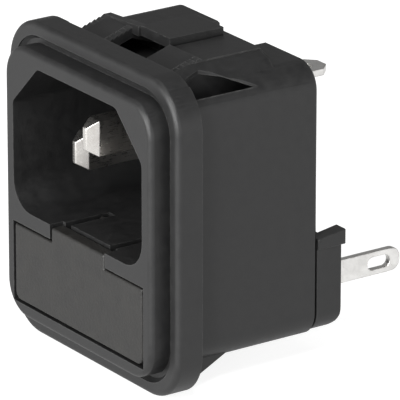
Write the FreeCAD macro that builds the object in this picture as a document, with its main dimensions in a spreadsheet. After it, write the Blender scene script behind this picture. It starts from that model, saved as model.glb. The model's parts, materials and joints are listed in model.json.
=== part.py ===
"""C14 panel inlet socket with a fuse drawer, snapped into a panel from the front.

Frame: X to the right seen from the front, Y into the panel, Z up.
Origin: centre of the flange's rear face, which seats on the panel.
"""
import FreeCAD, Part
import math
import os
import Sketcher

os.makedirs("parts", exist_ok=True)
doc = FreeCAD.newDocument("c14_inlet")

# Driving dimensions in millimetres. Sizes named "at" are places on an axis of the frame.
SIZES = {
    # flange and bezel
    "flange_half_width": 15.85, "flange_half_height": 17.5, "flange_corner": 5.4,
    "flange_depth": 3.1, "flange_round": 0.6,
    "bezel_half_width": 13.66, "bezel_half_height": 15.2, "bezel_corner": 3.7,
    "bezel_front": 5.0, "bezel_round": 0.6,
    "groove_width": 0.9, "groove_depth": 0.55, "groove_round": 0.4,
    # housing behind the flange
    "body_half_width": 13.5, "body_top": 15.8, "body_low": -14.65, "body_corner": 2.9,
    "body_end": 16.2, "body_end_round": 0.3,
    # socket for the cord's plug
    "socket_half_width": 12.1, "socket_top": 13.55, "socket_low": -3.05,
    "socket_chamfer": 4.8, "socket_round": 3.2, "socket_upper_round": 1.0, "socket_floor": 11.6,
    # pins
    "pin_half_width": 1.0, "pin_half_height": 2.0, "pin_pitch": 7.0,
    "earth_pin_at": 7.8, "live_pin_at": 3.6, "earth_tip": -4.0, "live_tip": -0.7,
    "nose_length": 1.3, "nose_width": 0.7, "nose_height": 0.8,
    "earth_tail": 14.2, "live_tail": 14.8,
    "leg_half_width": 0.6, "leg_depth": 1.2, "line_leg_low": -12.6, "neutral_leg_low": -6.5,
    # bay for the fuse drawer
    "mouth_half_width": 12.28, "mouth_top": -4.67, "mouth_low": -13.73, "mouth_end": -1.9,
    "bay_half_width": 11.3, "bay_top": -5.0, "bay_low": -12.9, "bay_end": 12.4,
    "notch_half_width": 5.2, "notch_end": -3.3, "notch_low": -5.3, "notch_top": -2.0,
    "tunnel_half_width": 4.75, "tunnel_top": -3.75, "latch_end": 2.2, "latch_inner": 3.65,
    # chamber for the terminals, closed by the rear cover
    "chamber_half_width": 12.2, "chamber_top": -5.1, "chamber_low": -13.0, "chamber_start": 13.4,
    # snap fingers on top, and the wedge below
    "finger_inner": 3.5, "finger_outer": 8.85, "tooth_strip": 0.85, "finger_under": 15.0,
    "finger_front": 0.3, "ramp_low": 16.2, "ridge": 17.5, "ridge_at": 4.4, "ridge_back": 4.9,
    "ridge_under": 16.3, "lead_in_end": 9.1, "arm_root": 8.0, "arm_end": 12.0, "arm_top": 17.2,
    "arm_end_low": 13.2, "tooth_drop": 0.22,
    "well_start": -0.1, "well_floor": 14.1, "well_end": 8.0, "root_top": 17.1,
    "root_low": 14.9, "root_left": -9.0, "root_right": 13.4,
    "block_left": -2.3, "block_right": 2.9, "block_top": 17.9, "block_start": 4.8, "crest_end": 5.3,
    "block_end": 11.6, "block_root": 15.2, "bridge_under": 16.8, "bridge_end": 9.0,
    "shoulder_top": 17.05, "shoulder_edge": 10.5, "shoulder_edge_top": 16.45,
    "shoulder_outer": 13.3, "shoulder_low": 14.0, "ramp_start": 16.1, "clear_top": 18.6,
    "slot_inner": 11.2, "slot_outer": 12.85, "slot_bend": 9.9, "slot_bend_at": 3.5,
    "slot_end": 8.9, "slot_low": 11.4,
    "void_inner": 9.6, "void_outer": 12.7, "void_high": 12.7, "void_low": 9.6,
    "void_top": 15.3, "void_shoulder": 11.0, "void_side": 13.9, "void_end": 10.2,
    "shell_start": 1.3, "shell_inner": 16.35, "shell_bend": 15.9, "shell_knee": 12.0,
    "shell_knee_at": 15.15, "shell_outer": 14.6,
    "relief_half_width": 4.4, "relief_start": 14.5, "relief_floor": 14.6,
    "wedge_half_width": 12.4, "wedge_low": -16.3, "wedge_end": 2.8, "wedge_root": 1.2,
    # rear cover
    "cover_end": 19.35, "cover_top": -4.65, "cover_low": -14.3, "cover_corner": 2.6,
    "cover_round": 1.7, "cover_bend_far": 0.85, "cover_bend_near": 0.23,
    "ear_inner": 12.0, "ear_outer": 13.7, "ear_top": -2.95, "ear_front_top": -3.5,
    "ear_end": 19.75,
    "cover_hollow_half": 11.8, "cover_hollow_end": 17.9, "cover_hollow_low": -12.4,
    "cover_hollow_top": -5.6,
    # terminals
    "blade_inner": 9.6, "blade_outer": 10.4, "tag_at": -9.25, "tag_half_height": 1.3,
    "tag_end": 29.3, "tag_hole_end": 28.0, "tag_hole_length": 2.9, "tag_hole_half": 0.7,
    "tag_hole_round": 0.65, "tag_round": 1.1,
    "foot_start": 14.8, "foot_end": 15.6, "neutral_foot_top": -5.2, "neutral_foot_inner": 6.4,
    "neutral_back": 15.8, "earth_low": 9.6, "earth_high": 10.4, "earth_half_width": 2.4,
    "earth_step": 21.6, "earth_end": 26.4, "earth_end_half": 1.9, "earth_taper": 0.7,
    "earth_nose": 1.1,
    "earth_foot_low": 6.0, "earth_foot_half": 1.45, "earth_foot_end": 15.0,
    "earth_hole_end": 24.9, "earth_hole_length": 2.4,
    # fuses, clips and link
    "fuse_at": -8.95, "spare_at": 1.0, "fuse_at_rest": 7.0, "fuse_half_length": 10.0,
    "cap_radius": 2.6, "cap_length": 5.0, "cap_wall": 0.35, "glass_radius": 2.5,
    "glass_wall": 0.5, "element_radius": 0.2,
    "clip_inner": 6.0, "clip_outer": 9.0, "clip_metal": 0.4, "clip_gap": 0.15,
    "clip_front": 4.8, "clip_bend": 5.6, "clip_web": 10.3, "clip_flare": 0.35, "clip_tail_half": 1.1,
    "link_low": -12.6, "link_high": -11.0, "link_end": 7.6, "link_start": 14.8,
    "link_back": 15.4,
    # fuse drawer
    "face_half_width": 12.0, "face_top": -4.95, "face_low": -13.45, "face_depth": 2.6,
    "face_corner": 0.9, "face_round": 0.25, "tab_half_width": 4.93, "tab_top": -3.35,
    "tab_depth": 1.5, "tray_half_width": 11.0, "tray_low": -12.65, "rail_inner": 10.3,
    "rail_top": -9.6, "tray_end": 10.0, "plate_top": -12.0, "plate_end": 3.9,
    "cradle_half_width": 4.6, "cradle_top": -7.7, "tongue_half_width": 4.6,
    "tongue_low": -4.7, "tongue_top": -4.0, "tongue_end": 1.2, "hook_top": -3.15,
    "hook_start": 0.1, "hook_inner": 3.8, "trough_length": 12.0,
}
TOOTH_COUNT = 7

sheet = doc.addObject("Spreadsheet::Sheet", "sizes")
for row, (word, number) in enumerate(SIZES.items(), start=1):
    sheet.set(f"A{row}", word)
    sheet.set(f"B{row}", str(number))
    sheet.setAlias(f"B{row}", word)
doc.recompute()


# ---------------------------------------------------------------- helpers

def value(terms):
    """Number for a sum of sizes such as "bezel_front - groove_depth"."""
    total = 0.0
    sign = 1
    for word in terms.split():
        if word in "+-":
            sign = -1 if word == "-" else 1
        else:
            total += sign * SIZES[word]
            sign = 1
    return total


def formula(terms):
    """The same sum as an expression on the spreadsheet's cells."""
    words = [word if word in "+-" else f"sizes.{word}" for word in terms.split()]
    return " ".join(words)


def new_body(label):
    body = doc.addObject("PartDesign::Body", label)
    body.Label = label
    body.Placement = FreeCAD.Placement()
    return body


def new_sketch(body, name, role, lift=None):
    """A sketch on one of the body's origin planes, lifted along its normal by a sum of sizes."""
    sketch = body.newObject("Sketcher::SketchObject", name)
    plane = next(item for item in body.Origin.OriginFeatures if item.Role == role)
    sketch.AttachmentSupport = [(plane, "")]
    sketch.MapMode = "FlatFace"
    if lift:
        sketch.setExpression("AttachmentOffset.Base.z", formula(lift))
    return sketch


def set_place(sketch, line, across, up):
    """Fix the start of a line at (across, up), each a sum of sizes, or None on that axis."""
    for kind, axis, terms in (("DistanceX", -2, across), ("DistanceY", -1, up)):
        if terms is None:
            sketch.addConstraint(Sketcher.Constraint("PointOnObject", line, 1, axis))
        else:
            rule = Sketcher.Constraint(kind, -1, 1, line, 1, value(terms))
            index = sketch.addConstraint(rule)
            sketch.setExpression(f"Constraints[{index}]", formula(terms))


def draw_polygon(sketch, corners):
    """A closed outline through corners, each a pair of sums of sizes."""
    points = []
    for across, up in corners:
        x = value(across) if across else 0.0
        y = value(up) if up else 0.0
        points.append(FreeCAD.Vector(x, y, 0))
    first = sketch.GeometryCount
    count = len(points)
    for index in range(count):
        sketch.addGeometry(Part.LineSegment(points[index], points[(index + 1) % count]), False)
    for index in range(count):
        after = first + (index + 1) % count
        sketch.addConstraint(Sketcher.Constraint("Coincident", first + index, 2, after, 1))
    for index, (across, up) in enumerate(corners):
        set_place(sketch, first + index, across, up)


def draw_rounded(sketch, half_width, half_height, radius):
    """A rectangle about the origin with four equal round corners."""
    x = value(half_width)
    y = value(half_height)
    r = value(radius)
    normal = FreeCAD.Vector(0, 0, 1)
    sides = [((r - x, -y), (x - r, -y)), ((x, r - y), (x, y - r)),
             ((x - r, y), (r - x, y)), ((-x, y - r), (-x, r - y))]
    centres = [(x - r, r - y), (x - r, y - r), (r - x, y - r), (r - x, r - y)]
    for index in range(4):
        start, end = sides[index]
        line = Part.LineSegment(FreeCAD.Vector(*start, 0), FreeCAD.Vector(*end, 0))
        sketch.addGeometry(line, False)
        circle = Part.Circle(FreeCAD.Vector(*centres[index], 0), normal, r)
        turn = (index - 1) * math.pi / 2
        sketch.addGeometry(Part.ArcOfCircle(circle, turn, turn + math.pi / 2), False)
    rules = []
    for index in range(4):
        line = 2 * index
        arc = line + 1
        after = (line + 2) % 8
        rules.append(Sketcher.Constraint("Tangent", line, 2, arc, 1))
        rules.append(Sketcher.Constraint("Tangent", arc, 2, after, 1))
        rules.append(Sketcher.Constraint("Vertical" if index % 2 else "Horizontal", line))
    rules += [Sketcher.Constraint("Equal", 1, arc) for arc in (3, 5, 7)]
    for rule in rules:
        sketch.addConstraint(rule)
    measured = [("DistanceY", 0, -y, f"- {half_height}"), ("DistanceX", 2, x, half_width),
                ("DistanceY", 4, y, half_height), ("DistanceX", 6, -x, f"- {half_width}")]
    for kind, line, number, terms in measured:
        terms = negated(terms[2:]) if terms.startswith("- ") else terms
        index = sketch.addConstraint(Sketcher.Constraint(kind, -1, 1, line, 1, number))
        sketch.setExpression(f"Constraints[{index}]", formula(terms))
    index = sketch.addConstraint(Sketcher.Constraint("Radius", 1, r))
    sketch.setExpression(f"Constraints[{index}]", formula(radius))


def draw_circle(sketch, across, up, radius):
    centre = FreeCAD.Vector(value(across), value(up), 0)
    normal = FreeCAD.Vector(0, 0, 1)
    index = sketch.addGeometry(Part.Circle(centre, normal, value(radius)), False)
    for kind, terms in (("DistanceX", across), ("DistanceY", up)):
        rule = sketch.addConstraint(Sketcher.Constraint(kind, -1, 1, index, 3, value(terms)))
        sketch.setExpression(f"Constraints[{rule}]", formula(terms))
    rule = sketch.addConstraint(Sketcher.Constraint("Radius", index, value(radius)))
    sketch.setExpression(f"Constraints[{rule}]", formula(radius))


def add_feature(body, kind, name, sketch, length, reverse=False, both=False):
    """A Pad or Pocket of a sketch, checked to have changed the body."""
    before = body.Shape.Volume if body.Tip else 0.0
    feature = body.newObject(f"PartDesign::{kind}", name)
    feature.Profile = sketch
    feature.setExpression("Length", formula(length))
    feature.Reversed = reverse
    feature.Midplane = both
    doc.recompute()
    after = body.Shape.Volume
    grew = after - before if kind == "Pad" else before - after
    if grew < 1e-6:
        raise RuntimeError(f"{body.Label}: {name} changes nothing")
    return feature


def pad_y(body, name, corners, start, end):
    """Pad an X-Z outline from Y = start to Y = end, both sums of sizes or None for zero."""
    sketch = new_sketch(body, f"{name}_sketch", "XZ_Plane", negated(end))
    draw_polygon(sketch, corners)
    return add_feature(body, "Pad", name, sketch, span(start, end))


def pocket_y(body, name, corners, start, end):
    """Cut an X-Z outline from Y = start to Y = end."""
    sketch = new_sketch(body, f"{name}_sketch", "XZ_Plane", negated(start))
    draw_polygon(sketch, corners)
    return add_feature(body, "Pocket", name, sketch, span(start, end))


def pad_z(body, name, corners, start, end):
    """Pad an X-Y outline from Z = start to Z = end."""
    sketch = new_sketch(body, f"{name}_sketch", "XY_Plane", start)
    draw_polygon(sketch, corners)
    return add_feature(body, "Pad", name, sketch, span(start, end))


def pocket_z(body, name, corners, start, end):
    """Cut an X-Y outline from Z = start up to Z = end."""
    sketch = new_sketch(body, f"{name}_sketch", "XY_Plane", end)
    draw_polygon(sketch, corners)
    return add_feature(body, "Pocket", name, sketch, span(start, end))


def pad_x(body, name, corners, start, end):
    """Pad a Y-Z outline from X = start to X = end."""
    sketch = new_sketch(body, f"{name}_sketch", "YZ_Plane", start)
    draw_polygon(sketch, corners)
    return add_feature(body, "Pad", name, sketch, span(start, end))


def pocket_x(body, name, corners, start, end):
    """Cut a Y-Z outline from X = start to X = end."""
    sketch = new_sketch(body, f"{name}_sketch", "YZ_Plane", end)
    draw_polygon(sketch, corners)
    return add_feature(body, "Pocket", name, sketch, span(start, end))


def negated(terms):
    """The sum with every sign turned, for planes whose normal points down an axis."""
    if not terms:
        return None
    words = terms.split()
    if words[0] not in "+-":
        words.insert(0, "+")
    flipped = {"+": "-", "-": "+"}
    return " ".join(flipped.get(word, word) for word in words).removeprefix("+ ")


def span(start, end):
    """end minus start as one sum of sizes."""
    if not start:
        return end
    turned = negated(start)
    if turned[0] != "-":
        turned = "+ " + turned
    return f"{end or ''} {turned}".strip().removeprefix("+ ")


def box_outline(left, low, right, high):
    return [(left, low), (right, low), (right, high), (left, high)]


def pick_edges(feature, test):
    """Names of the feature's edges whose middle point and direction pass the test."""
    names = []
    for number, edge in enumerate(feature.Shape.Edges, start=1):
        start = edge.valueAt(edge.FirstParameter)
        end = edge.valueAt(edge.LastParameter)
        middle = edge.valueAt((edge.FirstParameter + edge.LastParameter) / 2)
        if test(start, middle, end):
            names.append(f"Edge{number}")
    return names


def round_edges(body, kind, name, base, amount, test):
    """Fillet or Chamfer the edges of the base feature that pass the test."""
    names = pick_edges(base, test)
    if not names:
        raise RuntimeError(f"{body.Label}: {name} finds no edge")
    feature = body.newObject(f"PartDesign::{kind}", name)
    feature.Base = (base, names)
    feature.setExpression("Radius" if kind == "Fillet" else "Size", formula(amount))
    doc.recompute()
    return feature


def near(a, b, reach=0.02):
    return abs(a - b) < reach


def runs_along_y(start, end):
    return near(start.x, end.x) and near(start.z, end.z) and not near(start.y, end.y)


def all_at_y(start, middle, end, place):
    return near(start.y, place) and near(middle.y, place) and near(end.y, place)


# ---------------------------------------------------------------- housing

housing = new_body("housing_block")

body_box = box_outline("- body_half_width", "body_low", "body_half_width", "body_top")
block = pad_y(housing, "shell", body_box, None, "body_end")
block = round_edges(housing, "Fillet", "shell_corners", block, "body_corner",
                    lambda s, m, e: runs_along_y(s, e))
block = round_edges(housing, "Chamfer", "shell_back", block, "body_end_round",
                    lambda s, m, e: all_at_y(s, m, e, value("body_end")))

flange_sketch = new_sketch(housing, "flange_sketch", "XZ_Plane")
draw_rounded(flange_sketch, "flange_half_width", "flange_half_height", "flange_corner")
flange = add_feature(housing, "Pad", "flange", flange_sketch, "flange_depth")
round_edges(housing, "Fillet", "flange_edge", flange, "flange_round",
            lambda s, m, e: all_at_y(s, m, e, value("- flange_depth")))

# A round-bottomed groove runs between the bezel and the flange's rim.
groove_sketch = new_sketch(housing, "groove_sketch", "XZ_Plane", "flange_depth")
draw_rounded(groove_sketch, "bezel_half_width + groove_width",
             "bezel_half_height + groove_width", "bezel_corner + groove_width")
groove = add_feature(housing, "Pocket", "groove", groove_sketch, "groove_depth")
round_edges(housing, "Chamfer", "groove_bottom", groove, "groove_round",
            lambda s, m, e: all_at_y(s, m, e, value("groove_depth - flange_depth")))

bezel_sketch = new_sketch(housing, "bezel_sketch", "XZ_Plane", "flange_depth - groove_depth")
draw_rounded(bezel_sketch, "bezel_half_width", "bezel_half_height", "bezel_corner")
bezel = add_feature(housing, "Pad", "bezel", bezel_sketch,
                    "bezel_front - flange_depth + groove_depth")
round_edges(housing, "Fillet", "bezel_edge", bezel, "bezel_round",
            lambda s, m, e: all_at_y(s, m, e, value("- bezel_front")))

# The socket: a flat lower side and two cut upper corners, as the standard asks.
socket_outline = [
    ("- socket_half_width", "socket_low"), ("socket_half_width", "socket_low"),
    ("socket_half_width", "socket_top - socket_chamfer"),
    ("socket_half_width - socket_chamfer", "socket_top"),
    ("socket_chamfer - socket_half_width", "socket_top"),
    ("- socket_half_width", "socket_top - socket_chamfer")]
socket = pocket_y(housing, "socket", socket_outline, "- bezel_front", "socket_floor")
socket = round_edges(housing, "Fillet", "socket_corners", socket, "socket_round",
                     lambda s, m, e: runs_along_y(s, e)
                     and near(abs(m.x), value("socket_half_width"))
                     and near(m.z, value("socket_low")))
round_edges(housing, "Fillet", "socket_upper_corners", socket, "socket_upper_round",
            lambda s, m, e: runs_along_y(s, e)
            and abs(m.x) < value("socket_half_width") + 0.02
            and value("socket_top - socket_chamfer") - 0.02 < m.z < value("socket_top") + 0.02)

# The drawer's bay: a wide mouth for its face, then a narrower guide for its tray.
mouth_box = box_outline("- mouth_half_width", "mouth_low", "mouth_half_width", "mouth_top")
pocket_y(housing, "mouth", mouth_box, "- bezel_front", "mouth_end")
bay_box = box_outline("- bay_half_width", "bay_low", "bay_half_width", "bay_top")
pocket_y(housing, "bay", bay_box, "- bezel_front", "bay_end")
notch_box = box_outline("- notch_half_width", "notch_low", "notch_half_width", "notch_top")
pocket_y(housing, "notch", notch_box, "- bezel_front", "notch_end")

# The drawer's tongue slides under the socket's floor, its two hooks in slots through the floor.
tunnel_box = box_outline("- tunnel_half_width", "notch_low", "tunnel_half_width", "tunnel_top")
pocket_y(housing, "tunnel", tunnel_box, "- bezel_front", "latch_end")
for side, left, right in (("left", "- tunnel_half_width", "- latch_inner"),
                          ("right", "latch_inner", "tunnel_half_width")):
    pocket_y(housing, f"latch_slot_{side}", box_outline(left, "notch_low", right, "notch_top"),
             "- bezel_front", "latch_end")

chamber_box = box_outline("- chamber_half_width", "chamber_low",
                          "chamber_half_width", "chamber_top")
pocket_y(housing, "chamber", chamber_box, "chamber_start", "body_end")

# The snap fingers stand over a well cut in the top wall.
well_box = box_outline("- finger_outer", "well_floor", "finger_outer", "block_top")
pocket_y(housing, "well", well_box, "well_start", "well_end")
root_box = box_outline("root_left", "root_low", "root_right", "root_top")
pocket_y(housing, "finger_clearance", root_box, "well_start", None)
relief_box = box_outline("- relief_half_width", "relief_floor", "relief_half_width", "block_top")
pocket_y(housing, "relief", relief_box, "relief_start", "body_end")

# The right arm runs out into a shoulder that falls to the housing's rounded corner.
shoulder = [("finger_outer", "finger_under"), ("shoulder_outer", "shoulder_low"),
            ("shoulder_edge", "shoulder_edge_top"), ("finger_outer", "shoulder_top")]
pad_y(housing, "shoulder", shoulder, "well_start", "arm_end")
above_ramp = [("well_start", "ramp_start"), ("ridge_at", "ridge"), ("ridge_at", "clear_top"),
              ("well_start", "clear_top")]
pocket_x(housing, "ramp_cut", above_ramp, "finger_outer", "body_half_width")

# A raised block between the fingers bridges a deep opening behind the flange.
block_box = box_outline("block_left", "block_root", "block_right", "block_top")
pad_y(housing, "middle_block", block_box, "block_start", "block_end")
bridge_box = box_outline("- finger_inner", "well_floor", "finger_inner", "bridge_under")
pocket_y(housing, "bridge_opening", bridge_box, "well_start", "bridge_end")

# Outside each finger a three-cornered slot opens into a void over the socket's cut corner.
for side, sign in (("left", "- "), ("right", "")):
    slot = [(sign + "slot_inner", None), (sign + "slot_outer", None),
            (sign + "slot_outer", "slot_end"), (sign + "slot_bend", "slot_bend_at")]
    pocket_z(housing, f"slot_{side}", slot, "slot_low", "clear_top")
    void = [(sign + "void_inner", "void_high"), (sign + "void_outer", "void_low"),
            (sign + "void_outer", "void_side"), (sign + "void_shoulder", "void_top"),
            (sign + "void_inner", "void_top")]
    pocket_y(housing, f"void_{side}", void, None, "void_end")
under_shoulder = [("void_inner", "void_high"), ("void_outer", "void_low"),
                  ("void_outer", "shell_outer"), ("shell_knee", "shell_knee_at"),
                  ("void_shoulder", "shell_bend"), ("void_inner", "shell_inner")]
pocket_y(housing, "void_under_shoulder", under_shoulder, "shell_start", "void_end")

falling_arm = [("finger_front", "finger_under"), ("finger_front", "ramp_low"),
               ("ridge_at", "ridge"), ("lead_in_end", "body_top"),
               ("lead_in_end", "finger_under"), ("arm_root", "finger_under"),
               ("ridge_at", "ridge_under")]
level_arm = [("finger_front", "finger_under"), ("finger_front", "ramp_low"),
             ("ridge_at", "ridge"), ("ridge_back", "arm_top"),
             ("arm_end", "arm_top"), ("arm_end_low", "body_top"),
             ("arm_end_low", "finger_under"), ("arm_root", "finger_under"),
             ("ridge_at", "ridge_under")]
pad_x(housing, "finger_left", falling_arm,
      "tooth_strip - finger_outer", "- finger_inner - tooth_strip")
pad_x(housing, "finger_right", level_arm,
      "finger_inner", "finger_outer - tooth_strip")
crest = [("- finger_outer", "bridge_under"), ("block_left", "bridge_under"),
         ("block_left", "block_top"), ("- finger_outer", "ridge")]
pad_y(housing, "crest", crest, "ridge_at", "crest_end")


def toothed_outline(tail):
    """The finger's side outline with its ramp cut into ratchet teeth."""
    run = value("ridge_at - finger_front")
    rise = value("ridge - ramp_low")
    points = [(value("finger_front"), value("finger_under"))]
    for tooth in range(TOOTH_COUNT):
        low = tooth / TOOTH_COUNT
        high = (tooth + 1) / TOOTH_COUNT
        foot = value("ramp_low") + rise * low - value("tooth_drop")
        points.append((value("finger_front") + run * low, foot))
        points.append((value("finger_front") + run * high, foot + rise / TOOTH_COUNT
                       + value("tooth_drop")))
    points.extend(tail)
    return points


root_tail = [(value("arm_root"), value("finger_under")),
             (value("ridge_at"), value("ridge_under"))]
falling_tail = [(value("lead_in_end"), value("body_top")),
                (value("lead_in_end"), value("finger_under"))] + root_tail
level_tail = [(value("ridge_back"), value("arm_top")),
              (value("arm_end"), value("arm_top")),
              (value("arm_end_low"), value("body_top")),
              (value("arm_end_low"), value("finger_under"))] + root_tail


def tooth_strip(name, tail, start):
    """A strip of ratchet teeth along one edge of a finger, from X = start."""
    corners = [FreeCAD.Vector(value(start), y, z) for y, z in toothed_outline(tail)]
    face = Part.Face(Part.makePolygon(corners + corners[:1]))
    strip = doc.addObject("Part::Feature", name)
    strip.Shape = face.extrude(FreeCAD.Vector(value("tooth_strip"), 0, 0))
    strip.Placement = FreeCAD.Placement()
    return strip


strips = [tooth_strip("teeth_left_outer", falling_tail, "- finger_outer"),
          tooth_strip("teeth_left_inner", falling_tail, "- finger_inner - tooth_strip"),
          tooth_strip("teeth_right_outer", level_tail, "finger_outer - tooth_strip")]

# A wedge below grips the panel's edge.
wedge = [(None, "body_low + wedge_root"), (None, "wedge_low"), ("wedge_end", "body_low"),
         ("wedge_end", "body_low + wedge_root")]
pad_x(housing, "wedge", wedge, "- wedge_half_width", "wedge_half_width")


# ---------------------------------------------------------------- pins

def make_pin(label, across, up, tip, tail, leg_low):
    """A flat pin with a tapered nose. A live pin has a leg down to the terminal chamber."""
    body = new_body(label)
    left = f"{across} - pin_half_width" if across else "- pin_half_width"
    right = f"{across} + pin_half_width" if across else "pin_half_width"
    low = f"{up} - pin_half_height"
    high = f"{up} + pin_half_height"
    nose = f"{tip} + nose_length"
    pad_y(body, "blade", box_outline(left, low, right, high), tip, tail)
    pocket_x(body, "nose_top", [(tip, high), (nose, high), (tip, f"{high} - nose_height")],
             left, right)
    pocket_x(body, "nose_low", [(tip, low), (nose, low), (tip, f"{low} + nose_height")],
             left, right)
    pocket_z(body, "nose_left", [(left, tip), (left, nose), (f"{left} + nose_width", tip)],
             low, high)
    pocket_z(body, "nose_right", [(right, tip), (right, nose), (f"{right} - nose_width", tip)],
             low, high)
    if leg_low:
        leg_box = box_outline(f"{across} - leg_half_width", leg_low,
                              f"{across} + leg_half_width", f"{up} - pin_half_height")
        pad_y(body, "leg", leg_box, f"{tail} - leg_depth", tail)
    return body


earth_pin = make_pin("earth_pin", "", "earth_pin_at", "earth_tip", "earth_tail", None)
line_pin = make_pin("line_pin", "pin_pitch", "live_pin_at", "live_tip", "live_tail",
                    "line_leg_low")
neutral_pin = make_pin("neutral_pin", "- pin_pitch", "live_pin_at", "live_tip", "live_tail",
                       "neutral_leg_low")


# ---------------------------------------------------------------- fuse clips and link

def make_clip(label, sign):
    """A forked spring contact that grips one cap of the working fuse from behind."""
    body = new_body(label)
    inner = "clip_inner"
    outer = "clip_outer"
    low = "fuse_at - cap_radius - clip_gap"
    high = "fuse_at + cap_radius + clip_gap"
    start, end = (inner, outer) if sign > 0 else (f"- {outer}", f"- {inner}")
    fork = [
        ("clip_front", f"{low} - clip_flare"), ("clip_bend", low),
        ("clip_web", low), ("clip_web", high), ("clip_bend", high),
        ("clip_front", f"{high} + clip_flare"),
        ("clip_front", f"{high} + clip_flare + clip_metal"), ("clip_bend", f"{high} + clip_metal"),
        ("clip_web + clip_metal", f"{high} + clip_metal"),
        ("clip_web + clip_metal", f"{low} - clip_metal"), ("clip_bend", f"{low} - clip_metal"),
        ("clip_front", f"{low} - clip_flare - clip_metal")]
    pad_x(body, "fork", fork, start, end)
    tail_low = "tag_at - clip_tail_half"
    tail_high = "tag_at + clip_tail_half"
    tail = box_outline("clip_web", tail_low, "foot_end", tail_high)
    if sign > 0:
        pad_x(body, "tail", tail, f"{outer} - clip_metal", outer)
    else:
        pad_x(body, "tail", tail, f"- {outer}", f"- {outer} + clip_metal")
        drop = box_outline("link_start", "link_low", "link_back", "tag_at")
        pad_x(body, "drop", drop, f"- {outer}", f"- {outer} + clip_metal")
    return body


clip_right = make_clip("fuse_clip_right", 1)
clip_left = make_clip("fuse_clip_left", -1)

line_link = new_body("line_link")
link_box = box_outline("clip_metal - clip_outer", "link_low", "link_end", "link_high")
pad_y(line_link, "strip", link_box, "link_start", "link_back")


# ---------------------------------------------------------------- terminals

def tag_outline(back_low, back_high, back_end):
    """Side outline of an upright terminal: a wide back inside the cover, then the tag."""
    return [("foot_start", back_low), (back_end, back_low),
            (back_end, "tag_at - tag_half_height"), ("tag_end", "tag_at - tag_half_height"),
            ("tag_end", "tag_at + tag_half_height"), (back_end, "tag_at + tag_half_height"),
            (back_end, back_high), ("foot_start", back_high)]


def cut_tag_hole(body):
    """The oblong wire hole near the tag's end, and the tag's rounded end."""
    front = "tag_hole_end - tag_hole_length"
    low = "tag_at - tag_hole_half"
    high = "tag_at + tag_hole_half"
    hole = pocket_x(body, "wire_hole", box_outline(front, low, "tag_hole_end", high),
                    "- body_half_width", "body_half_width")
    hole = round_edges(body, "Fillet", "hole_ends", hole, "tag_hole_round",
                       lambda s, m, e: near(s.y, e.y) and near(s.z, e.z)
                       and value(front) - 0.1 < m.y < value("tag_hole_end") + 0.1
                       and abs(m.z - value("tag_at")) < value("tag_hole_half") + 0.1)
    round_edges(body, "Fillet", "tag_tip", hole, "tag_round",
                lambda s, m, e: near(s.y, e.y) and near(s.z, e.z)
                and near(m.y, value("tag_end")))


line_terminal = new_body("line_terminal")
pad_x(line_terminal, "blade",
      box_outline("foot_start", "tag_at - tag_half_height", "tag_end", "tag_at + tag_half_height"),
      "blade_inner", "blade_outer")
pad_y(line_terminal, "foot",
      box_outline("clip_outer", "tag_at - clip_tail_half", "blade_outer",
                  "tag_at + clip_tail_half"), "foot_start", "foot_end")
cut_tag_hole(line_terminal)

neutral_terminal = new_body("neutral_terminal")
pad_x(neutral_terminal, "blade",
      tag_outline("tag_at - tag_half_height - clip_gap", "neutral_foot_top", "neutral_back"),
      "- blade_outer", "- blade_inner")
pad_y(neutral_terminal, "foot",
      box_outline("- blade_outer", "neutral_leg_low", "- neutral_foot_inner",
                  "neutral_foot_top"), "foot_start", "foot_end")
cut_tag_hole(neutral_terminal)

earth_terminal = new_body("earth_terminal")
half_tag = [("earth_half_width", "earth_tail"), ("earth_half_width", "earth_step"),
            ("earth_end_half", "earth_step + earth_taper"), ("earth_end_half", "earth_end - earth_nose"),
            ("earth_end_half - earth_nose", "earth_end")]
other_half = [(negated(across), along) for across, along in reversed(half_tag)]
pad_z(earth_terminal, "blade", half_tag + other_half, "earth_low", "earth_high")
pad_y(earth_terminal, "foot",
      box_outline("- earth_foot_half", "earth_foot_low", "earth_foot_half", "earth_high"),
      "earth_tail", "earth_foot_end")
earth_hole = pocket_z(earth_terminal, "wire_hole",
                      box_outline("- tag_hole_half", "earth_hole_end - earth_hole_length",
                                  "tag_hole_half", "earth_hole_end"),
                      "earth_low", "earth_high")
round_edges(earth_terminal, "Fillet", "hole_ends", earth_hole, "tag_hole_round",
            lambda s, m, e: near(s.x, e.x) and near(s.y, e.y)
            and near(abs(m.x), value("tag_hole_half")))


# ---------------------------------------------------------------- rear cover

rear_cover = new_body("rear_cover")
cover_box = box_outline("- body_half_width", "cover_low", "body_half_width", "cover_top")
cover = pad_y(rear_cover, "block", cover_box, "body_end", "cover_end")
round_edges(rear_cover, "Fillet", "lower_corners", cover, "cover_corner",
            lambda s, m, e: runs_along_y(s, e) and near(m.z, value("cover_low")))
below_bend = [("cover_end", "cover_low"), ("cover_end - cover_round", "cover_low"),
              ("cover_end - cover_bend_far", "cover_low + cover_bend_near"),
              ("cover_end - cover_bend_near", "cover_low + cover_bend_far"),
              ("cover_end", "cover_low + cover_round")]
pocket_x(rear_cover, "lower_bend", below_bend, "- body_half_width", "body_half_width")
ear = [("body_end", "cover_top"), ("ear_end", "cover_top"), ("ear_end", "ear_top"),
       ("body_end", "ear_front_top")]
for side, left, right in (("left", "- ear_outer", "- ear_inner"),
                          ("right", "ear_inner", "ear_outer")):
    pad_x(rear_cover, f"ear_{side}", ear, left, right)
pocket_y(rear_cover, "hollow",
         box_outline("- cover_hollow_half", "cover_hollow_low", "cover_hollow_half",
                     "cover_hollow_top"), "body_end", "cover_hollow_end")
for side, left, right in (("left", "- blade_outer", "- blade_inner"),
                          ("right", "blade_inner", "blade_outer")):
    pocket_y(rear_cover, f"tag_slot_{side}",
             box_outline(left, "tag_at - tag_half_height", right, "tag_at + tag_half_height"),
             "body_end", "ear_end")


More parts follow.
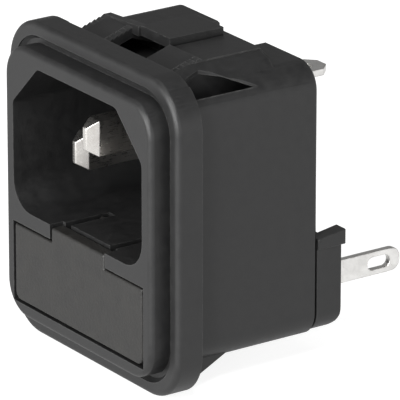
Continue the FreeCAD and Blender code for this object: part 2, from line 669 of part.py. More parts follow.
# ---------------------------------------------------------------- fuses

def ring(body, name, start, end, outer, inner, centre_along, centre_up):
    """A tube along X between two places, or a rod where inner is None."""
    sketch = new_sketch(body, f"{name}_sketch", "YZ_Plane", start)
    draw_circle(sketch, centre_along, centre_up, outer)
    if inner:
        draw_circle(sketch, centre_along, centre_up, inner)
    return add_feature(body, "Pad", name, sketch, span(start, end))


def make_fuse(prefix, along):
    """Glass tube, two caps and the wire of one fuse, lying along X at Y = along."""
    tube = new_body(f"{prefix}_glass")
    ring(tube, "tube", "cap_wall - fuse_half_length", "fuse_half_length - cap_wall",
         "glass_radius", "glass_radius - glass_wall", along, "fuse_at")
    wire = new_body(f"{prefix}_wire")
    ring(wire, "rod", "cap_wall - fuse_half_length", "fuse_half_length - cap_wall",
         "element_radius", None, along, "fuse_at")
    caps = []
    for side in ("left", "right"):
        cap = new_body(f"{prefix}_cap_{side}")
        if side == "left":
            ends = ("- fuse_half_length", "cap_length - fuse_half_length")
            bore = ("cap_wall - fuse_half_length", "cap_length - fuse_half_length")
        else:
            ends = ("fuse_half_length - cap_length", "fuse_half_length")
            bore = ("fuse_half_length - cap_length", "fuse_half_length - cap_wall")
        outer = ring(cap, "cup", *ends, "cap_radius", None, along, "fuse_at")
        place = value("- fuse_half_length" if side == "left" else "fuse_half_length")
        round_edges(cap, "Chamfer", "rim", outer, "clip_gap",
                    lambda s, m, e, place=place: near(s.x, place) and near(m.x, place))
        sketch = new_sketch(cap, "bore_sketch", "YZ_Plane", bore[1])
        draw_circle(sketch, along, "fuse_at", "glass_radius")
        add_feature(cap, "Pocket", "bore", sketch, span(*bore))
        caps.append(cap)
    return [tube, wire] + caps


working_fuse = make_fuse("fuse", "fuse_at_rest")
spare_fuse = make_fuse("spare_fuse", "spare_at")


# ---------------------------------------------------------------- fuse drawer

drawer = new_body("fuse_drawer")
face_outline = [("- face_half_width", "face_low"), ("face_half_width", "face_low"),
                ("face_half_width", "face_top"), ("- face_half_width", "face_top")]
face = pad_y(drawer, "face", face_outline, "- bezel_front", "face_depth - bezel_front")
face = round_edges(drawer, "Fillet", "face_corners", face, "face_corner",
                   lambda s, m, e: runs_along_y(s, e) and near(m.z, value("face_low")))
tab_box = box_outline("- tab_half_width", "face_top - face_corner", "tab_half_width", "tab_top")
tab = pad_y(drawer, "tab", tab_box, "- bezel_front", "tab_depth - bezel_front")
round_edges(drawer, "Fillet", "face_edge", tab, "face_round",
            lambda s, m, e: all_at_y(s, m, e, value("- bezel_front")))

tongue_box = box_outline("- tongue_half_width", "tongue_low", "tongue_half_width", "tongue_top")
pad_y(drawer, "tongue", tongue_box, "tab_depth - bezel_front", "tongue_end")
hook = [("hook_start", "tongue_top"), ("tongue_end", "tongue_top"), ("tongue_end", "hook_top")]
for side, left, right in (("left", "- tongue_half_width", "- hook_inner"),
                          ("right", "hook_inner", "tongue_half_width")):
    pad_x(drawer, f"hook_{side}", hook, left, right)

cradle_box = box_outline("- cradle_half_width", "tray_low", "cradle_half_width", "cradle_top")
pad_y(drawer, "cradle", cradle_box, "face_depth - bezel_front", "tray_end")
plate_box = box_outline("- tray_half_width", "tray_low", "tray_half_width", "plate_top")
pad_y(drawer, "plate", plate_box, "face_depth - bezel_front", "plate_end")
for side, left, right in (("left", "- tray_half_width", "- rail_inner"),
                          ("right", "rail_inner", "tray_half_width")):
    pad_y(drawer, f"rail_{side}", box_outline(left, "tray_low", right, "rail_top"),
          "face_depth - bezel_front", "tray_end")
for name, along in (("working", "fuse_at_rest"), ("spare", "spare_at")):
    sketch = new_sketch(drawer, f"{name}_trough_sketch", "YZ_Plane")
    draw_circle(sketch, along, "fuse_at", "glass_radius")
    add_feature(drawer, "Pocket", f"{name}_trough", sketch, "trough_length", both=True)


# ---------------------------------------------------------------- finish and export

moulded_over = [earth_pin, line_pin, neutral_pin, earth_terminal, clip_right, clip_left]

whole = doc.addObject("Part::MultiFuse", "housing_with_teeth")
whole.Shapes = [housing] + strips
inserts = doc.addObject("Part::MultiFuse", "inserts")
inserts.Shapes = moulded_over
finished = doc.addObject("Part::Cut", "housing_finished")
finished.Base = whole
finished.Tool = inserts
finished.Label = "housing"
finished.Placement = FreeCAD.Placement()
doc.recompute()

nodes = [finished, rear_cover, drawer, earth_pin, line_pin, neutral_pin, earth_terminal,
         line_terminal, neutral_terminal, line_link, clip_left, clip_right]
nodes += working_fuse + spare_fuse

for item in doc.Objects:
    if "Invalid" in item.State or "Error" in item.State:
        raise RuntimeError(f"{item.Label} failed: {item.State}")

for node in nodes:
    shape = node.Shape
    if shape.isNull() or not shape.isValid():
        raise RuntimeError(f"{node.Label} has no valid shape")
    shape.exportStep(f"parts/{node.Label}.step")
    box = shape.BoundBox
    print(f"{node.Label:22s} solids {len(shape.Solids)}  volume {shape.Volume:9.2f}  "
          f"X {box.XMin:6.2f}..{box.XMax:6.2f}  Y {box.YMin:6.2f}..{box.YMax:6.2f}  "
          f"Z {box.ZMin:6.2f}..{box.ZMax:6.2f}")
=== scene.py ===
# %% [markdown]
# # C14 panel inlet with a fuse drawer
# A black moulded inlet that snaps into a panel, with nickel-plated pins and tin-plated soldering
# tags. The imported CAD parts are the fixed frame. This file lights them as a small product on a
# white ground, then gives each part its rounded edges and its finish.

# %% Load the frame
import json
import math

import bmesh
import bpy
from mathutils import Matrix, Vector


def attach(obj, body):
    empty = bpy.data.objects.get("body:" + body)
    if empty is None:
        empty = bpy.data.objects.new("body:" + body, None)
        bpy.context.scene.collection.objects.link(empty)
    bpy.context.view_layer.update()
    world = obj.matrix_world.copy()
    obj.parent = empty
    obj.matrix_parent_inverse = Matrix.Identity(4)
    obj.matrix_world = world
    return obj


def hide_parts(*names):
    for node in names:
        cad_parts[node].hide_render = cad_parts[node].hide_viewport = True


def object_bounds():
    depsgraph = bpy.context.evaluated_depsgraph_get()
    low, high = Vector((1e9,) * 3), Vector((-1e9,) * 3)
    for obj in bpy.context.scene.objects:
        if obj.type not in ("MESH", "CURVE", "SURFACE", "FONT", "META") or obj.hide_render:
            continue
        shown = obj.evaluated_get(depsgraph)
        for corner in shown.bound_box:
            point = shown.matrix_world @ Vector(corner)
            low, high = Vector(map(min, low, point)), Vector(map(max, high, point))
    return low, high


MM = 0.001
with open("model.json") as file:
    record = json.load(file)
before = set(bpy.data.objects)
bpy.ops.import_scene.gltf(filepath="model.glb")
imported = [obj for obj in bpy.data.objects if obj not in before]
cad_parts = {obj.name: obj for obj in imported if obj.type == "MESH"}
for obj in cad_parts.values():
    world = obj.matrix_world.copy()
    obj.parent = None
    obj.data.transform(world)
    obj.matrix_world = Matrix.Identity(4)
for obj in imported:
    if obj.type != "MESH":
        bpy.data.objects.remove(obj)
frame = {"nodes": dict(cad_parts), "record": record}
cad_low, cad_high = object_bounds()

# %% [markdown]
# ## Camera
# A part this small is best seen from half a metre away through a long lens, which keeps its
# upright edges nearly parallel. From the front right and a little above, the socket, the snap
# fingers on top and the tags at the back all show. A constraint could aim the camera, but a
# direction worked out from two angles is exact and easy to change.

# %% Camera
AZIMUTH = math.radians(55.34)
ELEVATION = math.radians(20.20)
DISTANCE = 0.5519
LENS = 494.1
SENSOR_WIDTH = 36.0
NEAREST = 0.01
TARGET = Vector((22.32, -4.82, 7.985)) * MM
toward_camera = Vector((math.sin(AZIMUTH) * math.cos(ELEVATION),
                        -math.cos(AZIMUTH) * math.cos(ELEVATION),
                        math.sin(ELEVATION)))
camera_data = bpy.data.cameras.new("camera")
camera_data.lens = LENS
camera_data.sensor_width = SENSOR_WIDTH
camera_data.clip_start = NEAREST
camera = bpy.data.objects.new("camera", camera_data)
camera.location = TARGET + toward_camera * DISTANCE
camera.rotation_mode = "QUATERNION"
camera.rotation_quaternion = (-toward_camera).to_track_quat("-Z", "Y")
bpy.context.collection.objects.link(camera)
bpy.context.scene.camera = camera
print("camera at", [round(v, 4) for v in camera.location])

# %% [markdown]
# ## Lamps
# The housing is nearly black, so most of what the eye sees on it is reflection. At this angle the
# side mirrors the floor, the front mirrors the floor before it at a flatter angle, and the top
# mirrors the room behind. Strong lamps alone would give hot spots on black. So floor and room set
# the tones, and soft round lamps only fill in: one low lamp reaches into the socket, and a small
# one draws the glint on the bezel's corner.

# %% Lamps
MIDDLE = Vector((0.0, 0.006, 0.0))
LAMPS = {
    # name: (place in metres, width in metres, power in watts)
    "key_light": ((0.22, -0.42, 0.40), 0.22, 1.8),
    "front_fill": ((0.02, -0.60, 0.14), 0.30, 2.7),
    "socket_fill": ((0.36, -0.48, 0.10), 0.20, 1.7),
    "corner_glint": ((0.31, -0.13, 0.43), 0.07, 0.85),
    "side_fill": ((0.60, 0.10, 0.05), 0.40, 0.7),
    "top_strip": ((-0.10, 0.05, 0.60), 0.30, 0.4),
}


def soft_light(name, place, width, power):
    """A round lamp that faces the middle of the part."""
    data = bpy.data.lights.new(name, "AREA")
    data.shape = "DISK"
    data.size = width
    data.energy = power
    lamp = bpy.data.objects.new(name, data)
    lamp.location = place
    lamp.rotation_mode = "QUATERNION"
    lamp.rotation_quaternion = (MIDDLE - lamp.location).to_track_quat("-Z", "Y")
    bpy.context.collection.objects.link(lamp)


for name, (place, width, power) in LAMPS.items():
    soft_light(name, place, width, power)
print("lamps:", ", ".join(LAMPS))

# %% [markdown]
# ## Node trees
# A world or a finish in Blender is a tree of nodes. It could be wired by hand in the shader
# editor. A helper that adds one node at a time is chosen instead, so that each tree reads as a
# short recipe.


# %% A helper that adds a node
def step(tree, kind, inputs=None, **settings):
    """Add a node, set its properties, and give each named input a value or a link."""
    node = tree.nodes.new(kind)
    for name, setting in settings.items():
        setattr(node, name, setting)
    for socket, source in (inputs or {}).items():
        if isinstance(source, bpy.types.NodeSocket):
            tree.links.new(source, node.inputs[socket])
        else:
            node.inputs[socket].default_value = source
    return node


print("node helper:", step.__name__)

# %% [markdown]
# ## The room
# A studio has a bright side, a dim side, and a ceiling that throws back less than its walls. A
# panorama of a real one would do, but it would need a file. Here the light's strength comes from
# its direction alone: most from the front right, less from behind and overhead. The camera itself
# sees plain white.

# %% World
BRIGHT_SIDE = Vector((0.55, -0.75, 0.1)).normalized()
FACING_SPAN = 0.8
BACK_WALL, FRONT_WALL = 0.22, 0.75
WALLS_END, CEILING_STARTS = 0.30, 0.62
WALL_SHARE, CEILING_SHARE = 1.15, 0.45
SEEN_BY_CAMERA = 1.0
WHITE = (1, 1, 1, 1)

scene = bpy.context.scene
scene.view_settings.view_transform = "Standard"
world = bpy.data.worlds.new("white_room")
scene.world = world
world.use_nodes = True
tree = world.node_tree
place = step(tree, "ShaderNodeTexCoord")
facing = step(tree, "ShaderNodeVectorMath",
              {0: place.outputs["Generated"], 1: BRIGHT_SIDE}, operation="DOT_PRODUCT")
room = step(tree, "ShaderNodeMapRange",
            {"Value": facing.outputs["Value"], "From Min": -FACING_SPAN, "From Max": FACING_SPAN,
             "To Min": BACK_WALL, "To Max": FRONT_WALL})
height = step(tree, "ShaderNodeSeparateXYZ", {0: place.outputs["Generated"]})
ceiling = step(tree, "ShaderNodeMapRange",
               {"Value": height.outputs["Z"], "From Min": WALLS_END, "From Max": CEILING_STARTS,
                "To Min": WALL_SHARE, "To Max": CEILING_SHARE})
shaded = step(tree, "ShaderNodeMath",
              {0: room.outputs["Result"], 1: ceiling.outputs["Result"]}, operation="MULTIPLY")
rays = step(tree, "ShaderNodeLightPath")
# A mix of numbers has its mask in socket 0 and its two numbers in sockets 2 and 3.
strength = step(tree, "ShaderNodeMix",
                {0: rays.outputs["Is Camera Ray"], 2: shaded.outputs[0], 3: SEEN_BY_CAMERA})
tree.links.new(strength.outputs[0], tree.nodes["Background"].inputs["Strength"])
tree.nodes["Background"].inputs["Color"].default_value = WHITE
print("world:", world.name)

# %% [markdown]
# ## The floor
# The part stands on white paper. Enough light to turn real paper pure white would wash out the
# black plastic. So the paper is grey, which keeps the part's shadow, and a glow that only the
# camera and the reflections see makes up the rest of the white.

# %% Floor
FLOOR_HALF_WIDTH = 3.0
FLOOR_GAP = 0.1 * MM
PAPER_GREY = 0.36
PAPER_ROUGHNESS = 0.9
GLOW_SEEN = 0.87
GLOW_MIRRORED = 0.52


def new_material(name):
    """A material with its node tree and its shader."""
    material = bpy.data.materials.new(name)
    material.use_nodes = True
    return material, material.node_tree, material.node_tree.nodes["Principled BSDF"]


floor_mesh = bpy.data.meshes.new("floor")
work = bmesh.new()
bmesh.ops.create_grid(work, x_segments=1, y_segments=1, size=FLOOR_HALF_WIDTH)
work.to_mesh(floor_mesh)
work.free()
floor = bpy.data.objects.new("floor", floor_mesh)
floor.location.z = cad_low.z - FLOOR_GAP
bpy.context.collection.objects.link(floor)
paper, tree, shader = new_material("white_paper")
shader.inputs["Base Color"].default_value = (PAPER_GREY, PAPER_GREY, PAPER_GREY, 1)
shader.inputs["Roughness"].default_value = PAPER_ROUGHNESS
shader.inputs["Specular IOR Level"].default_value = 0.0
shader.inputs["Emission Color"].default_value = WHITE
rays = step(tree, "ShaderNodeLightPath")
mirrored = step(tree, "ShaderNodeMath", {0: rays.outputs["Is Glossy Ray"], 1: GLOW_MIRRORED},
                operation="MULTIPLY")
glow = step(tree, "ShaderNodeMath",
            {0: rays.outputs["Is Camera Ray"], 1: GLOW_SEEN, 2: mirrored.outputs[0]},
            operation="MULTIPLY_ADD")
tree.links.new(glow.outputs[0], shader.inputs["Emission Strength"])
floor_mesh.materials.append(paper)
print("floor at", round(floor.location.z / MM, 2), "mm")

# %% [markdown]
# ## Shared effects
# Four effects serve more than one material: the fine grain of a moulding, the edge colour (a
# painted highlight on plastic and a change of plating colour on metal), the drawn lines of rolled
# strip, and the cloudy film on plated metal. They could be repeated in each material. A node
# group keeps each in one place, with named inputs for what varies. All of them count in
# millimetres on the part itself, so the scale of a finish is its real size.


# %% Helpers for node groups
def node_group(name, numbers_in, sockets_out):
    """A new group with its sockets, its input node and its output node."""
    group = bpy.data.node_groups.new(name, "ShaderNodeTree")
    for label, number in numbers_in.items():
        socket = group.interface.new_socket(label, in_out="INPUT", socket_type="NodeSocketFloat")
        socket.default_value = number
    for label, kind in sockets_out.items():
        group.interface.new_socket(label, in_out="OUTPUT", socket_type=kind)
    return group, group.nodes.new("NodeGroupInput"), group.nodes.new("NodeGroupOutput")


def in_millimetres(tree):
    """Place on the object, counted in millimetres."""
    place = step(tree, "ShaderNodeTexCoord")
    scaled = step(tree, "ShaderNodeVectorMath", {0: place.outputs["Object"], "Scale": 1 / MM},
                  operation="SCALE")
    return scaled.outputs["Vector"]


print("group helpers:", node_group.__name__, in_millimetres.__name__)

# %% [markdown]
# ### Mould grain
# The steel mould is spark-eroded, and the plastic copies its grain of a few tenths of a
# millimetre or finer, over a slow waviness where it shrank. Dents so shallow would need millions
# of faces as geometry, so they are a bump. Mottle is a cloudier mask for colour and gloss.

# %% Mould grain
WAVE_SCALE = 0.22
WAVE_SHARE = 3.0
MOTTLE_SCALE = 0.9
grain_group, start, end = node_group(
    "mould_grain", {"Fineness": 6.0, "Depth": 0.3, "Relief": 0.02 * MM},
    {"Normal": "NodeSocketVector", "Mottle": "NodeSocketFloat"})
place = in_millimetres(grain_group)
fine = step(grain_group, "ShaderNodeTexNoise",
            {"Vector": place, "Scale": start.outputs["Fineness"], "Detail": 4.0,
             "Roughness": 0.6})
slow = step(grain_group, "ShaderNodeTexNoise",
            {"Vector": place, "Scale": WAVE_SCALE, "Detail": 2.0, "Roughness": 0.5})
both = step(grain_group, "ShaderNodeMath",
            {0: slow.outputs[0], 1: WAVE_SHARE, 2: fine.outputs[0]}, operation="MULTIPLY_ADD")
bump = step(grain_group, "ShaderNodeBump",
            {"Height": both.outputs[0], "Strength": start.outputs["Depth"],
             "Distance": start.outputs["Relief"]})
mottle = step(grain_group, "ShaderNodeTexNoise",
              {"Vector": place, "Scale": MOTTLE_SCALE, "Detail": 5.0, "Roughness": 0.65})
grain_group.links.new(bump.outputs[0], end.inputs["Normal"])
grain_group.links.new(mottle.outputs[0], end.inputs["Mottle"])
print(grain_group.name, len(grain_group.nodes), "nodes")

# %% [markdown]
# ### Edge wear and sheen
# On plastic the edges are coloured lighter, a painted highlight for the light that rounded edges
# catch, and handling polishes them. On metal the same mask changes the plating's colour at its
# edges. These places could be painted by hand on each part. A bevelled normal finds them by
# itself: it differs from the true one only near an edge, and noise breaks the difference up into
# patches.

# %% Edge wear and sheen
FLAT_MATCH, EDGE_MATCH = 0.995, 0.82
PATCH_SCALE = 1.6
PATCH_FULL = 0.65
LEAST_EDGE_SHARE = 0.25
edge_wear_and_sheen_group, start, end = node_group(
    "edge_wear_and_sheen", {"Reach": 0.25 * MM, "Patchiness": 0.5}, {"Mask": "NodeSocketFloat"})
place = in_millimetres(edge_wear_and_sheen_group)
soft = step(edge_wear_and_sheen_group, "ShaderNodeBevel", {"Radius": start.outputs["Reach"]}, samples=6)
true = step(edge_wear_and_sheen_group, "ShaderNodeNewGeometry")
match = step(edge_wear_and_sheen_group, "ShaderNodeVectorMath",
             {0: soft.outputs[0], 1: true.outputs["Normal"]}, operation="DOT_PRODUCT")
near_edge = step(edge_wear_and_sheen_group, "ShaderNodeMapRange",
                 {"Value": match.outputs["Value"], "From Min": FLAT_MATCH,
                  "From Max": EDGE_MATCH, "To Min": 0.0, "To Max": 1.0})
patches = step(edge_wear_and_sheen_group, "ShaderNodeTexNoise",
               {"Vector": place, "Scale": PATCH_SCALE, "Detail": 4.0})
uneven = step(edge_wear_and_sheen_group, "ShaderNodeMapRange",
              {"Value": patches.outputs[0], "From Min": start.outputs["Patchiness"],
               "From Max": PATCH_FULL, "To Min": LEAST_EDGE_SHARE, "To Max": 1.0})
# This mask places the painted edge highlight on plastic and the edge colour on metal.
mask = step(edge_wear_and_sheen_group, "ShaderNodeMath",
            {0: near_edge.outputs[0], 1: uneven.outputs[0]}, operation="MULTIPLY")
edge_wear_and_sheen_group.links.new(mask.outputs[0], end.inputs["Mask"])
print(edge_wear_and_sheen_group.name, len(edge_wear_and_sheen_group.nodes), "nodes")

# %% [markdown]
# ### Rolled strip
# Pins and tags are stamped from rolled strip, whose fine lines run along it. That is along Y
# here. A wave texture would give lines that are too even, so a noise is squeezed across X and Z
# and stretched along Y.

# %% Rolled strip
ACROSS, ALONG = 9.0, 0.5
LINE_RELIEF = 0.01 * MM
strip_group, start, end = node_group(
    "rolled_strip", {"Depth": 0.2}, {"Normal": "NodeSocketVector", "Lines": "NodeSocketFloat"})
place = in_millimetres(strip_group)
stretched = step(strip_group, "ShaderNodeVectorMath", {0: place, 1: (ACROSS, ALONG, ACROSS)},
                 operation="MULTIPLY")
lines = step(strip_group, "ShaderNodeTexNoise",
             {"Vector": stretched.outputs[0], "Scale": 1.0, "Detail": 5.0, "Roughness": 0.7})
bump = step(strip_group, "ShaderNodeBump",
            {"Height": lines.outputs[0], "Strength": start.outputs["Depth"],
             "Distance": LINE_RELIEF})
strip_group.links.new(bump.outputs[0], end.inputs["Normal"])
strip_group.links.new(lines.outputs[0], end.inputs["Lines"])
print(strip_group.name, len(strip_group.nodes), "nodes")

# %% [markdown]
# ### Plating film
# Bright plating dulls in clouds, with small darker freckles. One noise could make both, but
# clouds are soft and freckles are round. So a noise gives the clouds, and the hearts of scattered
# cells give the freckles.

# %% Plating film
CLOUD_SCALE = 0.8
CELL_SCALE = 2.4
DOT_RIM, DOT_HEART = 0.16, 0.04
film_group, start, end = node_group(
    "plating_film", {"Freckles": 0.5}, {"Cloud": "NodeSocketFloat", "Spots": "NodeSocketFloat"})
place = in_millimetres(film_group)
cloud = step(film_group, "ShaderNodeTexNoise",
             {"Vector": place, "Scale": CLOUD_SCALE, "Detail": 6.0, "Roughness": 0.6,
              "Distortion": 0.4})
cells = step(film_group, "ShaderNodeTexVoronoi", {"Vector": place, "Scale": CELL_SCALE})
dots = step(film_group, "ShaderNodeMapRange",
            {"Value": cells.outputs["Distance"], "From Min": DOT_RIM, "From Max": DOT_HEART,
             "To Min": 0.0, "To Max": 1.0})
spots = step(film_group, "ShaderNodeMath", {0: dots.outputs[0], 1: start.outputs["Freckles"]},
             operation="MULTIPLY")
film_group.links.new(cloud.outputs[0], end.inputs["Cloud"])
film_group.links.new(spots.outputs[0], end.inputs["Spots"])
print(film_group.name, len(film_group.nodes), "nodes")

# %% [markdown]
# ## Materials
# Every material starts from the same four moves: place a group, turn a mask into colours, mix two
# colours, and spread a noise over a span of roughness. Each could be written out in full every
# time. Written once, they keep each recipe short.

# %% Helpers for the materials
NOISE_LOW, NOISE_HIGH = 0.3, 0.7


def use(tree, group, inputs):
    """Place a group in a tree, with its own numbers."""
    node = tree.nodes.new("ShaderNodeGroup")
    node.node_tree = group
    for socket, number in inputs.items():
        node.inputs[socket].default_value = number
    return node


def ramp(tree, factor, *stops):
    """A colour ramp from two pairs of place and colour."""
    node = step(tree, "ShaderNodeValToRGB", {"Fac": factor})
    for item, (at, color) in zip(node.color_ramp.elements, stops):
        item.position = at
        item.color = (*color, 1)
    return node.outputs["Color"]


def blend(tree, mask, first, second):
    """Mix a colour from the tree with a plain one, by a mask."""
    # A mix of colours has its mask in socket 0 and its two colours in sockets 6 and 7.
    node = step(tree, "ShaderNodeMix", data_type="RGBA",
                inputs={0: mask, 6: first, 7: (*second, 1)})
    return node.outputs[2]


def spread(tree, noise, low, high):
    """Map a noise from its usual span to a low and a high."""
    node = step(tree, "ShaderNodeMapRange",
                {"Value": noise, "From Min": NOISE_LOW, "From Max": NOISE_HIGH,
                 "To Min": low, "To Max": high})
    return node.outputs["Result"]


print("material helpers:", use.__name__, ramp.__name__, blend.__name__, spread.__name__)

# %% [markdown]
# ### Black mouldings
# The housing and cover are a black thermoplastic: satin and barely mottled. Along the edges the
# colour is lighter, a painted highlight for the light that the rounded edges catch. A single dark
# colour would look like a cut-out, so the mottle moves both colour and gloss a little. The drawer
# is the same plastic with a coarser, greyer face.

# %% Moulded plastics
PLASTIC_EDGE_REACH = 0.22 * MM
RUB_POLISH = -0.10
SMOOTHER, ROUGHER = -0.05, 0.06
PLASTIC_IOR = 1.5


def moulding(name, dark, light, painted_edge_highlight, fineness, depth, relief, rough):
    """A moulded plastic, with its grain's relief in metres."""
    material, tree, shader = new_material(name)
    grain = use(tree, grain_group, {"Fineness": fineness, "Depth": depth, "Relief": relief})
    edges = use(tree, edge_wear_and_sheen_group, {"Reach": PLASTIC_EDGE_REACH, "Patchiness": 0.42})
    base = ramp(tree, grain.outputs["Mottle"], (NOISE_LOW, dark), (NOISE_HIGH, light))
    # The edges get a lighter colour: a painted highlight where the rounded edges catch light.
    color = blend(tree, edges.outputs["Mask"], base, painted_edge_highlight)
    tree.links.new(color, shader.inputs["Base Color"])
    satin = spread(tree, grain.outputs["Mottle"], rough + SMOOTHER, rough + ROUGHER)
    polished = step(tree, "ShaderNodeMath",
                    {0: edges.outputs["Mask"], 1: RUB_POLISH, 2: satin},
                    operation="MULTIPLY_ADD")
    tree.links.new(polished.outputs[0], shader.inputs["Roughness"])
    tree.links.new(grain.outputs["Normal"], shader.inputs["Normal"])
    shader.inputs["IOR"].default_value = PLASTIC_IOR
    return material


black = moulding("black_moulding", dark=(0.0095, 0.0095, 0.0098), light=(0.0150, 0.0150, 0.0150),
                 painted_edge_highlight=(0.052, 0.052, 0.051), fineness=6.0, depth=0.40, relief=0.03 * MM,
                 rough=0.44)
drawer_black = moulding("drawer_moulding", dark=(0.0090, 0.0087, 0.0083),
                        light=(0.0190, 0.0183, 0.0166), painted_edge_highlight=(0.052, 0.050, 0.047),
                        fineness=2.6, depth=0.90, relief=0.06 * MM, rough=0.48)
print("plastics:", black.name, drawer_black.name)

# %% [markdown]
# ### Plated metal
# Pins are bright nickel, tags are softer tin that is greyer at its edges, clips are bronze
# spring strip, the fuse caps are nickel over brass, and the fuse wire is tinned. They could be
# five separate trees. One recipe serves them all, each with its own colours, because strip, film
# and edge colour are common to them.

# %% Metals
FRECKLE_SHADE = 0.55
BRIGHT_UNTIL, DULL_FROM = 0.35, 0.68
LINES_SMOOTHER, LINES_ROUGHER = -0.06, 0.08
CLOUD_ROUGHER = 0.10


def plated(name, bright, dull, edge_tone, rough, depth, freckles, reach=0.12 * MM):
    """A plated or rolled metal, with the reach of its edge colour in metres."""
    material, tree, shader = new_material(name)
    strip = use(tree, strip_group, {"Depth": depth})
    film = use(tree, film_group, {"Freckles": freckles})
    edges = use(tree, edge_wear_and_sheen_group, {"Reach": reach, "Patchiness": 0.45})
    freckle = tuple(FRECKLE_SHADE * part for part in dull)
    clouded = ramp(tree, film.outputs["Cloud"], (BRIGHT_UNTIL, bright), (DULL_FROM, dull))
    spotted = blend(tree, film.outputs["Spots"], clouded, freckle)
    # Along the edges the colour changes: brass shows on the caps, the tags turn greyer, the rest
    # lighter.
    color = blend(tree, edges.outputs["Mask"], spotted, edge_tone)
    tree.links.new(color, shader.inputs["Base Color"])
    lined = spread(tree, strip.outputs["Lines"], rough + LINES_SMOOTHER, rough + LINES_ROUGHER)
    cloudy = spread(tree, film.outputs["Cloud"], 0.0, CLOUD_ROUGHER)
    total = step(tree, "ShaderNodeMath", {0: lined, 1: cloudy}, operation="ADD")
    tree.links.new(total.outputs[0], shader.inputs["Roughness"])
    tree.links.new(strip.outputs["Normal"], shader.inputs["Normal"])
    shader.inputs["Metallic"].default_value = 1.0
    return material


nickel = plated("nickel_plate", bright=(0.76, 0.74, 0.71), dull=(0.66, 0.63, 0.60),
                edge_tone=(0.80, 0.77, 0.72), rough=0.24, depth=0.12, freckles=0.15)
tin = plated("tag_plate", bright=(0.92, 0.91, 0.89), dull=(0.76, 0.75, 0.73),
             edge_tone=(0.36, 0.35, 0.33), rough=0.32, depth=0.35, freckles=0.55, reach=0.30 * MM)
bronze = plated("spring_bronze", bright=(0.74, 0.52, 0.32), dull=(0.58, 0.38, 0.22),
                edge_tone=(0.80, 0.60, 0.40), rough=0.34, depth=0.35, freckles=0.5)
cap_metal = plated("fuse_cap", bright=(0.78, 0.75, 0.70), dull=(0.64, 0.60, 0.54),
                   edge_tone=(0.70, 0.58, 0.36), rough=0.26, depth=0.25, freckles=0.4)
wire_metal = plated("fuse_wire", bright=(0.70, 0.62, 0.52), dull=(0.55, 0.46, 0.36),
                    edge_tone=(0.75, 0.66, 0.52), rough=0.30, depth=0.3, freckles=0.3)
print("metals:", nickel.name, tin.name, bronze.name, cap_metal.name, wire_metal.name)

# %% [markdown]
# ### Fuse glass
# A fuse's tube is clear drawn glass, faintly rippled and smeared by handling. Perfectly smooth
# glass would nearly vanish, so the film's clouds vary its gloss and its faint green tint, and a
# weak bump bends what is seen through it.

# %% Fuse glass
GLASS_IOR = 1.48
CLEAR, GREENISH = (0.97, 0.99, 0.98), (0.92, 0.96, 0.94)
GREENER_RIM = (0.88, 0.93, 0.91)
CLEAN_ROUGH, SMEARED_ROUGH = 0.03, 0.12
glass, tree, shader = new_material("fuse_glass")
film = use(tree, film_group, {})
edges = use(tree, edge_wear_and_sheen_group, {"Reach": 0.15 * MM, "Patchiness": 0.4})
tint = ramp(tree, film.outputs["Cloud"], (NOISE_LOW, CLEAR), (NOISE_HIGH, GREENISH))
# At its rim the glass is tinted darker and greener.
rim_tinted = blend(tree, edges.outputs["Mask"], tint, GREENER_RIM)
tree.links.new(rim_tinted, shader.inputs["Base Color"])
smear = spread(tree, film.outputs["Cloud"], CLEAN_ROUGH, SMEARED_ROUGH)
tree.links.new(smear, shader.inputs["Roughness"])
ripple = use(tree, grain_group, {"Fineness": 1.2, "Depth": 0.12})
tree.links.new(ripple.outputs["Normal"], shader.inputs["Normal"])
shader.inputs["Transmission Weight"].default_value = 1.0
shader.inputs["IOR"].default_value = GLASS_IOR
print("glass:", glass.name)

# %% [markdown]
# ## Rounded edges
# Moulded plastic has no sharp edge: the tool's corners leave a radius of a tenth of a millimetre
# or more, and that thin round catches the light and draws every outline. A shader could fake it,
# but real geometry is used here. So each part's mesh is copied, its flat triangles are merged
# back into whole faces, and its sharp edges are bevelled.

# %% Helpers that copy a CAD part and round its sharp edges
SHARP = math.radians(28)
FLAT = math.radians(1.0)
WELD = 0.002 * MM
EDGE_SEGMENTS = 2
behaviour = frame["record"]["behaviour"]["bodies"]
body_of = {node: body for body, nodes in behaviour.items() for node in nodes}


def clean_copy(node):
    """A copy of the node's mesh with shared corners welded and flat regions as single faces."""
    source = frame["nodes"][node]
    mesh = source.data.copy()
    mesh.name = f"{node}_skin"
    mesh.transform(source.matrix_world)
    work = bmesh.new()
    work.from_mesh(mesh)
    bmesh.ops.remove_doubles(work, verts=work.verts, dist=WELD)
    bmesh.ops.dissolve_limit(work, angle_limit=FLAT, verts=work.verts, edges=work.edges)
    for face in work.faces:
        face.smooth = True
    work.to_mesh(mesh)
    work.free()
    mesh.materials.clear()
    return mesh


def rounded_piece(node, radius):
    """A piece that stands for the node, with every sharp edge rounded to the radius."""
    piece = bpy.data.objects.new(f"{node}_moulded", clean_copy(node))
    bpy.context.collection.objects.link(piece)
    bevel = piece.modifiers.new("edge_round", "BEVEL")
    bevel.width = radius
    bevel.segments = EDGE_SEGMENTS
    bevel.limit_method = "ANGLE"
    bevel.angle_limit = SHARP
    bevel.miter_outer = "MITER_ARC"
    normals = piece.modifiers.new("face_normals", "WEIGHTED_NORMAL")
    normals.keep_sharp = True
    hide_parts(node)
    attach(piece, body_of[node])
    return piece


print("bodies:", {body: len(nodes) for body, nodes in behaviour.items()})

# %% [markdown]
# ## Dressing the parts
# Every CAD part gets its rounded copy. One radius for all would melt the thin metal or leave the
# plastic sharp. So the radius follows the process: a tenth of a millimetre and more on mouldings,
# about as much on stamped pins and tags and on the fuses' drawn caps, less on thin strip and
# wire, and a fire-polished rim on the glass.

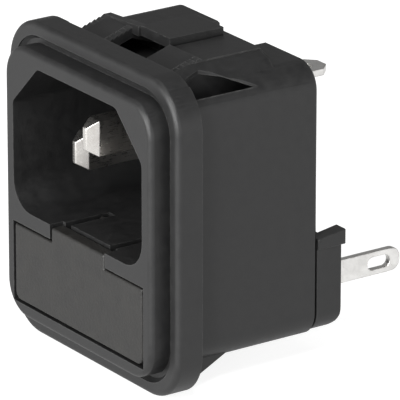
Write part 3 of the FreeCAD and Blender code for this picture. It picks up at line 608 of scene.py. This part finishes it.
# %% Rounded copies with their finishes
FINISH = {
    # node: (material, edge radius in millimetres)
    "housing": (black, 0.15), "rear_cover": (black, 0.12), "fuse_drawer": (drawer_black, 0.12),
    "earth_pin": (nickel, 0.10), "line_pin": (nickel, 0.10), "neutral_pin": (nickel, 0.10),
    "earth_terminal": (tin, 0.14), "line_terminal": (tin, 0.14), "neutral_terminal": (tin, 0.14),
    "line_link": (tin, 0.06), "fuse_clip_left": (bronze, 0.05), "fuse_clip_right": (bronze, 0.05),
    "fuse_glass": (glass, 0.10), "spare_fuse_glass": (glass, 0.10),
    "fuse_wire": (wire_metal, 0.04), "spare_fuse_wire": (wire_metal, 0.04),
    "fuse_cap_left": (cap_metal, 0.12), "fuse_cap_right": (cap_metal, 0.12),
    "spare_fuse_cap_left": (cap_metal, 0.12), "spare_fuse_cap_right": (cap_metal, 0.12),
}
for node in frame["nodes"]:
    finish, radius = FINISH[node]
    piece = rounded_piece(node, radius * MM)
    piece.data.materials.append(finish)
print("dressed", len(frame["nodes"]), "parts")

# %% [markdown]
# ## The wedge below
# Under the body a wedge slopes from the flange up to the underside and holds the panel's lower
# edge. The solid has its front part. Here the slope is carried on until it dies into the body. A
# scaled box would have no slope, so it is a prism with three sides, a hair narrower than the
# solid wedge so that no two faces share a plane.

# %% Wedge that runs out under the body
WEDGE_HALF_WIDTH = 12.46
WEDGE_LOW, WEDGE_TOP = -16.9, -13.9
WEDGE_FRONT, WEDGE_BACK = -0.2, 5.7
WEDGE_EDGE = 0.12 * MM


def wedge_piece(name, finish):
    """A three-sided prism across the body, its slope rising towards the back."""
    profile = [(WEDGE_FRONT, WEDGE_LOW), (WEDGE_BACK, WEDGE_TOP), (WEDGE_FRONT, WEDGE_TOP)]
    mesh = bpy.data.meshes.new(name)
    work = bmesh.new()
    ends = [[work.verts.new(Vector((side * WEDGE_HALF_WIDTH, y, z)) * MM) for y, z in profile]
            for side in (-1, 1)]
    work.faces.new(ends[0])
    work.faces.new(reversed(ends[1]))
    for first in range(len(profile)):
        second = (first + 1) % len(profile)
        work.faces.new((ends[0][first], ends[1][first], ends[1][second], ends[0][second]))
    bmesh.ops.recalc_face_normals(work, faces=work.faces)
    work.to_mesh(mesh)
    work.free()
    mesh.materials.append(finish)
    piece = bpy.data.objects.new(name, mesh)
    bpy.context.collection.objects.link(piece)
    bevel = piece.modifiers.new("edge_round", "BEVEL")
    bevel.width = WEDGE_EDGE
    bevel.segments = EDGE_SEGMENTS
    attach(piece, body_of["housing"])
    return piece


wedge = wedge_piece("snap_wedge", black)
print(wedge.name, len(wedge.data.polygons), "faces")
